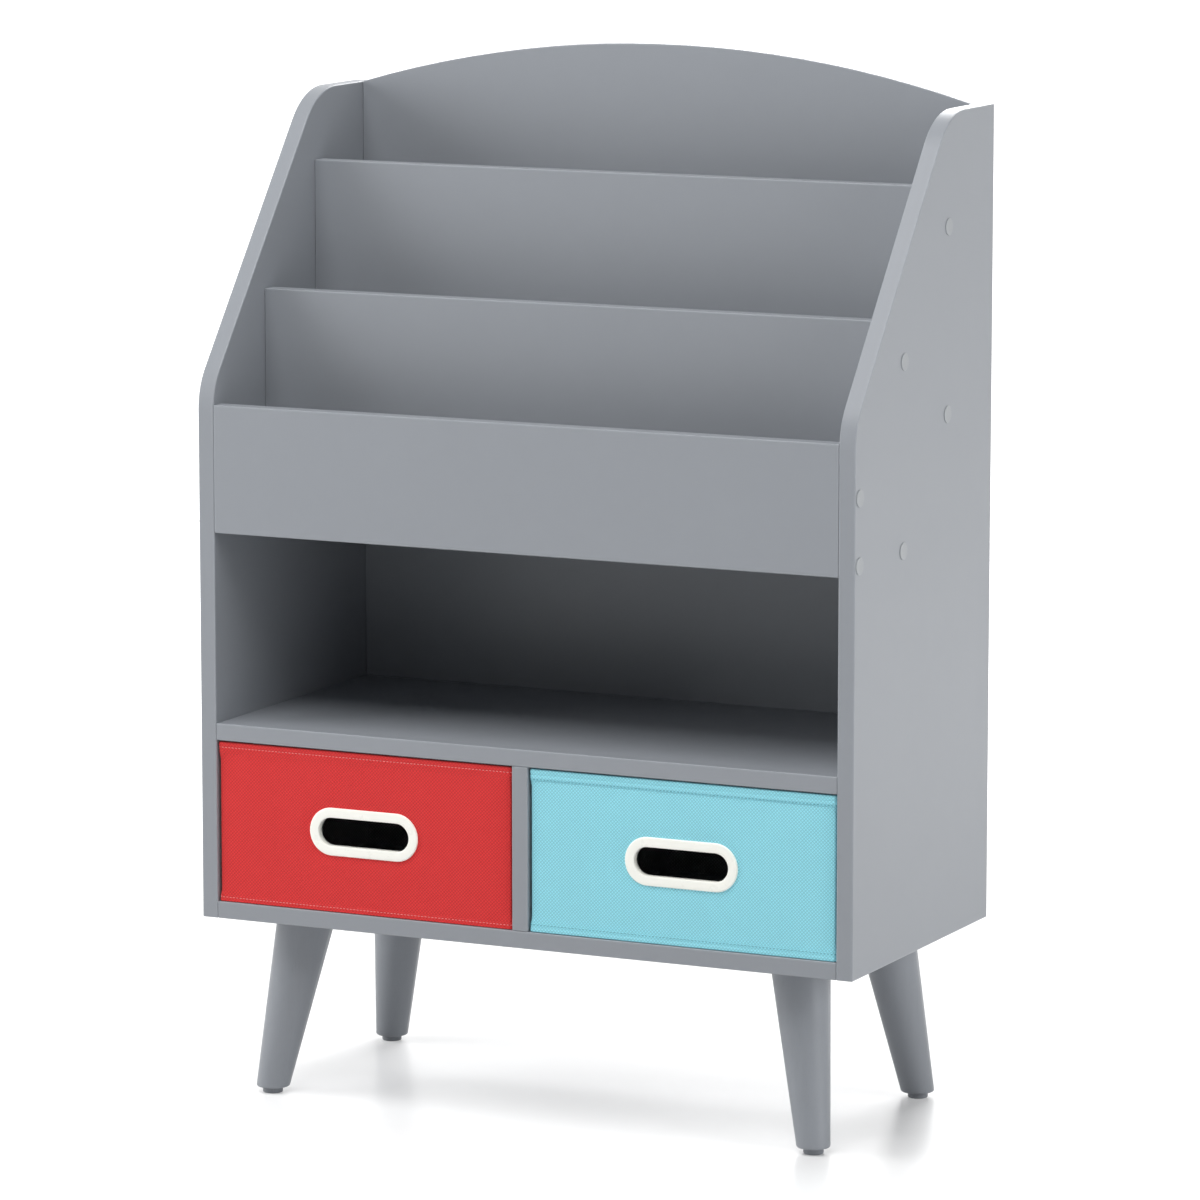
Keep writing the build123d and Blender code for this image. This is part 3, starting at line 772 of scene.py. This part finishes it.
def wallPlan(box, skin, spacing, cornerSteps, frontStops=()):
    # Once round a bin's wall, anticlockwise from the front left: straight runs joined by corner arcs.
    # A column is a place on the rectangle of the arcs' centres, from -1 to 1, and an outward direction.
    radius = max(binCloth["cornerRadius"] - skin, binCloth["leastRadius"])
    reachX, reachY = box["half"] - skin - radius
    front = spacedStops([-reachX, *frontStops, reachX], spacing) / reachX
    across = spacedStops([-reachX, reachX], spacing) / reachX
    along = spacedStops([-reachY, reachY], spacing) / reachY
    turn = np.linspace(0, math.pi / 2, cornerSteps + 1)[1:-1]

    def run(x, y, angle):
        return np.stack(np.broadcast_arrays(x, y, np.cos(angle), np.sin(angle)))

    return np.concatenate([
        run(front, -1.0, -math.pi / 2),
        run(1.0, -1.0, turn - math.pi / 2),
        run(1.0, along, 0.0),
        run(1.0, 1.0, turn),
        run(-across, 1.0, math.pi / 2),
        run(-1.0, 1.0, turn + math.pi / 2),
        run(-1.0, -along, math.pi),
        run(-1.0, -1.0, turn + math.pi),
    ], axis=1)


def onWall(box, plan, skin, height):
    # A point of a wall: its place on the rectangle of the arcs' centres, plus the arc's radius times the
    # outward direction. `skin` is the depth under the bin's outermost outline.
    skin, height, x, y = np.broadcast_arrays(skin, height, plan[0], plan[1])
    radius = np.maximum(binCloth["cornerRadius"] - skin, binCloth["leastRadius"])
    reach = box["half"] - np.stack([skin, skin], -1) - radius[..., None]
    place = box["centre"] + np.stack([x, y], -1) * reach + plan[2:].T * radius[..., None]
    return np.concatenate([place, height[..., None]], axis=-1)


def cornerDistance(box, plan):
    # The distance along the wall to the nearest upright corner, which is none on the arcs.
    x, y = (1 - np.abs(plan[0])) * box["half"][0], (1 - np.abs(plan[1])) * box["half"][1]
    return np.where(np.abs(plan[3]) > 0.999, x, np.where(np.abs(plan[2]) > 0.999, y, 0.0))


def looseWaves(plan, up, seed, count, longest):
    # A sum of sine waves with random directions and phases, each of which closes round the bin.
    draw = np.random.default_rng(seed)
    angle = np.linspace(0, 2 * math.pi, plan.shape[1], endpoint=False)
    total = 0 * (angle + up)
    for _ in range(count):
        turns = round(binCloth["roundWall"] / longest * draw.uniform(0.5, 1.2))
        rise = draw.uniform(-1, 1) * 2 * math.pi / longest
        total = total + np.sin(turns * angle + rise * up + draw.uniform(0, 2 * math.pi))
    return total / count


def openHandle(box, front, clampedSkin):
    # Points round a block that is left out of the front wall are drawn to the handle's opening, a
    # rectangle with round ends, and the pull fades out with distance. Near it the ring clamps the cloth.
    length, height = box["opening"] + binCloth["holeMargin"]
    core = length - height
    place = front[..., ::2] - box["handle"]
    level = np.maximum(np.abs(place[..., 0]) / length, np.abs(place[..., 1]) / height)
    edge = place / np.maximum(level, 0.5)[..., None]
    middle = np.stack([np.clip(edge[..., 0], -core, core), 0 * edge[..., 0]], -1)
    spoke = edge - middle
    spoke = spoke / np.maximum(np.linalg.norm(spoke, axis=-1), 1e-9)[..., None]
    pull = 1 - smoothStep(level, 1.0, 2.3)
    place = place + pull[..., None] * (middle + spoke * height - edge)
    front[..., ::2] = place + box["handle"]
    beyond = place[..., 0] - np.clip(place[..., 0], -core, core)
    away = np.hypot(beyond, place[..., 1]) - box["opening"][1]
    underRing = handle["band"] - binCloth["clampInset"]
    clamp = 1 - smoothStep(away, underRing, handle["band"] + binCloth["clampReach"])
    face = box["centre"][1] - box["half"][1] + clampedSkin
    front[..., 1] += clamp * (face - front[..., 1])


def wallCloth(box, name, material, hemHeights, inside, seed):
    # A cloth box open at the top. Rings run out over the floor, a quarter round turns them up, and rows
    # climb the walls. Each row is the wall's outline at its own depth, which is moved by a shallow bulge
    # between the corners, a pull at the corners, loose waves, and puckers next to the stitched hems.
    skin = binCloth["liningSkin"] if inside else binCloth["coverSkin"]
    floor = box["low"] + (binCloth["liningFloor"] if inside else binCloth["coverFloor"])
    fold = binCloth["foldRadius"]
    top = box["high"] - binCloth["underHem"]
    length, height = box["opening"] + binCloth["holeMargin"]
    offset = box["handle"][0] - box["centre"][0]
    middle = box["handle"][1]
    stops = (offset - length, offset + length)
    plan = wallPlan(box, skin, binCloth["columnSpacing"], binCloth["cornerSteps"], stops)
    least, rings = binCloth["liningRings" if inside else "coverRings"]
    shares = np.linspace(least, 1.0, rings)[:-1]
    climb = spacedStops([floor + fold, middle - height, middle + height, top], binCloth["rowSpacing"])
    bend = turnProfile((skin + fold, floor + fold), fold, 3, 2)
    skins, heights = joinProfile(
        (skin + fold + 0 * shares, floor),
        (bend[0][:-1], bend[1][:-1]),
        (skin, climb),
    )
    shares = np.concatenate([shares, np.ones(len(skins) - len(shares))])[:, None]
    skins, heights = skins[:, None], heights[:, None]
    flat = onWall(box, plan, skins, heights)

    corner = cornerDistance(box, plan)
    fromLow = heights - box["low"] - hemHeights[0]
    fromTop = box["high"] - hemHeights[1] - heights
    onWalls = smoothStep(heights, floor + fold, floor + 5 * fold)
    between = smoothStep(fromLow, 0, binCloth["hemReach"]) * smoothStep(fromTop, 0, binCloth["hemReach"])
    bulge = np.sin(math.pi * np.clip((heights - floor) / (top - floor), 0, 1))
    bulge = bulge * smoothStep(corner, 0, binCloth["bulgeReach"]) * binCloth["bulge"]
    bulge = bulge * (0.5 if inside else -1.0)
    pull = between * np.exp(-corner / binCloth["pullReach"]) * binCloth["cornerPull"]
    waves = looseWaves(plan, heights, seed, binCloth["waveCount"], binCloth["waveLength"])
    puckers = looseWaves(plan, 0 * heights, seed + 1, binCloth["puckerCount"], binCloth["puckerLength"])
    lowFade, topFade = binCloth["puckerFade"]
    nearHem = np.exp(-np.abs(fromTop) / topFade) + np.exp(-np.abs(fromLow) / lowFade)
    loose = waves * binCloth["waveDepth"] * between + puckers * binCloth["puckerDepth"] * nearHem
    loose = loose * smoothStep(corner, 0, binCloth["cornerHold"])
    moved = skins + onWalls * (bulge + pull + loose)
    grid = onWall(box, plan, np.maximum(moved, binCloth["leastSkin"]), heights)

    grid[..., :2] = box["centre"] + shares[..., None] * (grid[..., :2] - box["centre"])
    if inside:
        sag = 0.6 + looseWaves(plan, 0.1 * shares, seed + 2, binCloth["sagCount"], binCloth["sagLength"])
        grid[..., 2] += (shares < 1) * np.sin(math.pi * shares) * sag * binCloth["floorSag"]
    onFront = plan[3] < -0.999
    opening = np.abs(flat[..., ::2] - box["handle"]) < (length + 1e-6, height + 1e-6)
    climbing = slice(len(skins) - len(climb), None)
    front = grid[climbing][:, onFront]
    drawn = np.zeros((*grid.shape[:2], 2))
    drawn[climbing][:, onFront] = -front[..., ::2]
    openHandle(box, front, skin if inside else binCloth["clampedSkin"])
    drawn[climbing][:, onFront] += front[..., ::2]
    grid[climbing][:, onFront] = front
    flatRows = int((shares < 1).sum())
    piece = gridPiece(
        name, grid, material, flatRows=flatRows, leftOut=opening.all(axis=-1) & onFront,
        floorCap=True, inward=inside, shift=drawn,
    )
    wall = piece.modifiers.new("cloth thickness", "SOLIDIFY")
    wall.thickness, wall.offset = binCloth["thickness"], -1.0
    return piece


def hemSkin(look, distance):
    # The hem's outer face: a dip along the stitches, a pressed crease, and a drop towards its raw edge.
    stitched = hems["stitchDip"] * np.exp(-(((distance - look["line"]) / hems["stitchWidth"]) ** 2))
    crease = look["dip"] * np.exp(-(((distance - look["crease"]) / hems["creaseWidth"]) ** 2))
    drop = look["edge"] * smoothStep(distance, look["line"] - hems["dropStart"], look["height"])
    return np.minimum(stitched + crease + drop, binCloth["coverSkin"] - hems["leastCover"])


def hemBand(box, name, material, profile, seed):
    # A closed profile of (skin, height) carried round the wall; its outer face is puffed by small waves.
    plan = wallPlan(box, 0.0, hems["columnSpacing"], hems["cornerSteps"])
    skins, heights = (np.asarray(part)[:, None] for part in profile)
    outer = skins < 0.8 * binCloth["coverSkin"]
    puff = hems["puff"] * looseWaves(plan, 0 * heights, seed, hems["puffCount"], hems["puffLength"])
    grid = onWall(box, plan, np.maximum(skins + outer * puff, 0.0), heights)
    return gridPiece(name, grid, material, closedRows=True)


def topHemProfile(box, look):
    # Up the outside, over the rounded top, down the inside, and back along the hidden faces.
    top = box["high"]
    thick = binCloth["coverSkin"]
    roundness = hems["topRound"]
    inner = binCloth["liningSkin"]
    width = inner + thick
    bottom = top - look["height"]
    down = np.arange(look["height"] - hems["edgeRound"], roundness, -hems["rowSpacing"])
    return joinProfile(
        (thick - hems["tuck"], bottom),
        (hemSkin(look, down), top - down),
        turnProfile((roundness, top - roundness), roundness, 2, 1),
        turnProfile((width - roundness, top - roundness), roundness, 1, 0),
        (width - hemSkin(look, down[::-1]), top - down[::-1]),
        (inner + hems["tuck"], bottom),
        (inner, top - hems["topLayer"]),
        (thick, top - hems["topLayer"]),
    )


def bottomHemProfile(box, look):
    # Up the hidden face, down the outside, round the foot and back under it as a thin lip.
    low = box["low"]
    thick = binCloth["coverSkin"]
    foot = hems["footRound"]
    up = np.arange(look["height"] - hems["edgeRound"], foot, -hems["rowSpacing"])
    lip = binCloth["coverFloor"]
    return joinProfile(
        (thick, low + foot + lip),
        (thick - hems["tuck"], low + look["height"]),
        (hemSkin(look, up), low + up),
        turnProfile((foot, low + foot), foot, 2, 3),
        (hems["footLip"], low),
        (hems["footLip"], low + lip),
        (thick + foot, low + lip),
    )


def stitchRow(box, name, material, skin, height, outward=1.0):
    # Short thread arcs in a row round the wall. Each is a tube of rings along the wall, thinner at its
    # ends, where it dives into the cloth.
    plan = wallPlan(box, 0.0, stitches["pathSpacing"], binCloth["cornerSteps"])
    line = onWall(box, plan, skin, height)
    closed = np.concatenate([np.concatenate([line[:, :2], plan[2:].T], 1)] * 2)[: len(line) + 1]
    run = np.linalg.norm(np.diff(closed[:, :2], axis=0), axis=1)
    run = np.concatenate([[0.0], np.cumsum(run)])
    count = int(run[-1] / stitches["pitch"])
    rings = stitches["rings"]
    corners = stitches["sides"]
    stations = np.linspace(-1, 1, rings)
    centres = (np.arange(count) + 0.5) * run[-1] / count
    place = centres[:, None] + stations * stitches["length"] / 2
    x, y, nx, ny = (np.interp(place, run, column)[..., None] for column in closed.T)
    sides = np.linspace(0, 2 * math.pi, corners + 1)[:-1]
    radius = (stitches["radius"] * np.sqrt(1 - stitches["taper"] * stations ** 4))[:, None]
    lift = (stitches["stand"] - stitches["dive"] * stations ** 4)[:, None]
    out = outward * (lift + stitches["flatness"] * radius * np.cos(sides))
    rise = height + radius * np.sin(sides)
    points = np.stack(np.broadcast_arrays(x + nx * out, y + ny * out, rise), axis=-1)
    cells = gridCells(rings, corners, False, True)
    walls = (cells[..., 0] * corners + cells[..., 1] % corners).tolist()
    size = rings * corners
    single = walls + [list(range(corners))[::-1], list(range(size - corners, size))]
    faces = [[corner + size * number for corner in face] for number in range(count) for face in single]
    along = cells[..., 0] / (rings - 1) * stitches["length"]
    around = cells[..., 1] / corners * 2 * math.pi
    cornerMap = np.concatenate([np.stack([along, around], -1).reshape(-1, 2), np.zeros((2 * corners, 2))])
    return makePiece(name, points.reshape(-1, 3), faces, np.tile(cornerMap, (count, 1)), material, True)


def handlePart(box, name, material, profile):
    # A closed profile of (distance out from the opening, place along Y) carried round the opening.
    length, height = box["opening"]
    turn = np.linspace(-math.pi / 2, math.pi / 2, handle["arcSteps"])
    angles = np.concatenate([turn, turn + math.pi])
    side = np.repeat([length - height, height - length], len(turn))
    out, deep = (np.asarray(part)[:, None] for part in profile)
    x = box["handle"][0] + side + (height + out) * np.cos(angles)
    z = box["handle"][1] + (height + out) * np.sin(angles)
    return gridPiece(name, np.stack([x, deep + 0 * x, z], axis=-1), material, closedRows=True)


def frontRingProfile(box):
    # Up the bore, over its rounded lip, across the crowned face, round the outer edge and back behind
    # the flange to the sleeve's rear end.
    front = box["ringFront"]
    rear = box["ringRear"]
    lip, edge = handle["lipRound"], handle["frontRound"]
    band, sleeve, flange = handle["band"], handle["sleeve"], handle["flange"]
    draft = np.array([1.0, 0.66, 0.33])
    across = np.linspace(lip, band - edge, 8)[1:-1]
    crown = handle["crown"]
    lipTurn = turnProfile((lip, front + lip + crown), lip, 2, 3, 7)
    edgeTurn = turnProfile((band - edge, front + edge + crown), edge, 3, 4, 8)
    sag = crown * (2 * (across - lip) / (band - edge - lip) - 1) ** 2
    return joinProfile(
        (handle["draft"] * draft, front + lip + crown + (rear - front - lip - crown) * draft),
        lipTurn,
        (across, front + sag),
        edgeTurn,
        (np.array([band, sleeve, sleeve]), front + np.array([flange, flange, rear - front])),
    )


def rearRingProfile(box):
    # A flat ring on the lining with a rounded rear edge.
    rear = box["ringRear"]
    edge = handle["rearRound"]
    chamfer = handle["rearChamfer"]
    inner = handle["sleeve"] + handle["rearGap"]
    outer = handle["band"] - handle["rearMargin"]
    front = rear - handle["flange"]
    return joinProfile(
        (np.array([inner, outer]), front),
        turnProfile((outer - edge, rear - edge), edge, 0, 1, 6),
        (inner + chamfer, rear),
        (inner, rear - chamfer),
    )


ivoryPlastic = scuffedMaterial(
    "ivory plastic", shownColour(254, 254, 246), 0.012, 0.3, 0.01 * mm, 0.7, {"Coat Weight": 0.15}
)
wholeHeight = (-1.0, 2.0)
liningCloth = clothMaterial("lining cloth", clothLooks["lining"], wholeHeight)


def makeBin(colour, seed):
    # One fabric bin: cover, lining, two hems, three rows of stitches and both halves of the handle ring.
    name = colour + "_bin"
    box, looks = readBin(name), hemLooks[colour]
    hemHeights = looks["bottom"]["height"], looks["top"]["height"]
    smoothLow, smoothTop = looks["smooth"]
    cloth = clothMaterial(
        colour + " cloth", clothLooks[colour], (box["low"] + smoothLow, box["high"] - smoothTop)
    )
    thread = threadMaterial(colour + " thread", clothLooks[colour + " thread"])
    cover = wallCloth(box, name + "_cover_cloth", cloth, hemHeights, False, seed)
    lining = wallCloth(box, name + "_lining_cloth", liningCloth, hemHeights, True, seed + 10)
    topProfile = topHemProfile(box, looks["top"])
    bottomProfile = bottomHemProfile(box, looks["bottom"])
    topHem = hemBand(box, name + "_top_hem_band", cloth, topProfile, seed + 20)
    bottomHem = hemBand(box, name + "_bottom_hem_band", cloth, bottomProfile, seed + 30)
    topLine, bottomLine = looks["top"]["line"], looks["bottom"]["line"]
    topSkin, bottomSkin = (float(hemSkin(looks[end], looks[end]["line"])) for end in ("top", "bottom"))
    inner = binCloth["liningSkin"] + binCloth["coverSkin"] - topSkin
    rows = [
        stitchRow(box, name + "_top_stitching", thread, topSkin, box["high"] - topLine),
        stitchRow(box, name + "_inner_stitching", thread, inner, box["high"] - topLine, -1.0),
        stitchRow(box, name + "_bottom_stitching", thread, bottomSkin, box["low"] + bottomLine),
    ]
    ring = handlePart(box, name + "_handle_front", ivoryPlastic, frontRingProfile(box))
    rearRing = handlePart(box, name + "_handle_rear", ivoryPlastic, rearRingProfile(box))
    for piece in (cover, lining, topHem, bottomHem, *rows, ring, rearRing):
        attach(piece, name)
    fabric = colour + "_fabric"
    for piece, node, slot in (
        (cover, "_cover", fabric),
        (lining, "_lining", "lining_fabric"),
        (topHem, "_top_hem", fabric),
        (bottomHem, "_bottom_hem", fabric),
        (ring, "_handle_ring", "handle_plastic"),
        (rearRing, "_handle_backing_ring", "handle_plastic"),
    ):
        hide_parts(name + node)
    print(name, "made")


makeBin("red", 11)
makeBin("aqua", 47)


# Floor, light and camera

stageLook = {
    "floorHalf": 30.0,
    "floorColour": (0.8, 0.8, 0.8, 1.0),
    "floorMottle": (0.99, 1.01),
    "mottleScale": 40.0,
    "floorRoughness": 0.27,
    "floorSpecular": 0.25,
    # A painted shadow on the floor: where its ellipse lies, how far it reaches and its least glow.
    "paintedShadowPlace": (0.16, -0.05, 0.0),
    "paintedShadowReach": (0.5, 0.3, 1.0),
    "paintedShadowLeast": 0.05,
    "nearGlow": 0.35,
    "farGlow": 0.65,
    "nearRadius": 0.7,
    "farRadius": 2.2,
    "skyLight": 0.06,
}
softBoxes = {
    "right": {"place": (3.2, -0.3, 1.2), "size": 2.0, "power": 49.0},
    "left": {"place": (-2.9, -1.3, 1.4), "size": 2.0, "power": 58.0},
    "top": {"place": (0.0, -1.4, 3.2), "size": 2.0, "power": 75.0},
    "rear": {"place": (-0.4, 3.2, 2.4), "size": 2.4, "power": 105.0},
}
cameraPlace = {
    "place": (2.3987, -4.9868, 1.3178),
    "turn": 0.4475176,
    "tilt": -0.1572473,
    "lens": 193.25,
    "sensor": 36.0,
}


def seenDirectly(tree):
    # 1 for rays that show the backdrop itself: from the camera, or by way of gloss or glass.
    path = addNode(tree, "ShaderNodeLightPath").outputs
    rays = compute(tree, "MAXIMUM", path["Is Camera Ray"], path["Is Glossy Ray"])
    return compute(tree, "MAXIMUM", rays, path["Is Transmission Ray"])


def makeFloor():
    # A flat sheet that glows less in an ellipse under the object, a painted shadow, and runs out to plain
    # white far away.
    edge = stageLook["floorHalf"]
    mesh = bpy.data.meshes.new("floor")
    corners = [(-edge, -edge, 0), (edge, -edge, 0), (edge, edge, 0), (-edge, edge, 0)]
    mesh.from_pydata(corners, [], [(0, 1, 2, 3)])
    floor = bpy.data.objects.new("floor", mesh)
    bpy.context.scene.collection.objects.link(floor)
    material, tree = startMaterial("floor paper")
    place = objectPlace(tree)
    # The dip in glow under the object is a painted shadow, added to the shadow that the lamps cast.
    offset = computeVector(tree, "SUBTRACT", place, stageLook["paintedShadowPlace"])
    offset = computeVector(tree, "DIVIDE", offset, stageLook["paintedShadowReach"])
    paintedShadowDistance = computeVector(tree, "LENGTH", offset, output="Value")
    far = computeVector(tree, "LENGTH", place, output="Value")
    paintedShadowGlow = rescale(tree, paintedShadowDistance, 0.0, 1.0, stageLook["paintedShadowLeast"], stageLook["nearGlow"])
    wide = rescale(tree, far, stageLook["nearRadius"], stageLook["farRadius"], 0.0, stageLook["farGlow"])
    shine = times(tree, plus(tree, paintedShadowGlow, wide), seenDirectly(tree))
    mottle = noiseAt(tree, place, stageLook["mottleScale"])
    tone = rescale(tree, mottle, 0.0, 1.0, *stageLook["floorMottle"])
    shader = addNode(tree, "ShaderNodeBsdfPrincipled", {
        "Base Color": brighten(tree, stageLook["floorColour"], tone),
        "Roughness": stageLook["floorRoughness"],
        "Specular IOR Level": stageLook["floorSpecular"],
        "Emission Color": (1.0, 1.0, 1.0, 1.0),
        "Emission Strength": shine,
    })
    addNode(tree, "ShaderNodeOutputMaterial", {"Surface": shader.outputs[0]})
    mesh.materials.append(material)


def makeSky():
    # White where it is seen, and only a little light for everything else.
    world = bpy.data.worlds.new("studio")
    bpy.context.scene.world = world
    world.use_nodes = True
    tree = world.node_tree
    tree.nodes.clear()
    sky = stageLook["skyLight"]
    strength = compute(tree, "MAXIMUM", seenDirectly(tree), sky)
    shader = addNode(tree, "ShaderNodeBackground", {"Color": (1.0, 1.0, 1.0, 1.0), "Strength": strength})
    addNode(tree, "ShaderNodeOutputWorld", {"Surface": shader.outputs[0]})


def makeSoftBoxes():
    low, high = cadBox
    target = (low + high) / 2
    for name, box in softBoxes.items():
        light = bpy.data.lights.new(name + " soft box", "AREA")
        light.size = box["size"]
        light.energy = box["power"]
        lamp = bpy.data.objects.new(name + " soft box", light)
        bpy.context.scene.collection.objects.link(lamp)
        lamp.location = box["place"]
        lamp.rotation_euler = (target - Vector(box["place"])).to_track_quat("-Z", "Y").to_euler()


def makeCamera():
    lens = bpy.data.cameras.new("camera")
    lens.lens = cameraPlace["lens"]
    lens.sensor_width = cameraPlace["sensor"]
    camera = bpy.data.objects.new("camera", lens)
    bpy.context.scene.collection.objects.link(camera)
    camera.location = cameraPlace["place"]
    camera.rotation_euler = (math.pi / 2 + cameraPlace["tilt"], 0.0, cameraPlace["turn"])
    bpy.context.scene.camera = camera


makeFloor()
makeSky()
makeSoftBoxes()
makeCamera()
bpy.context.scene.view_settings.view_transform = "Standard"
print("floor, light and camera made")
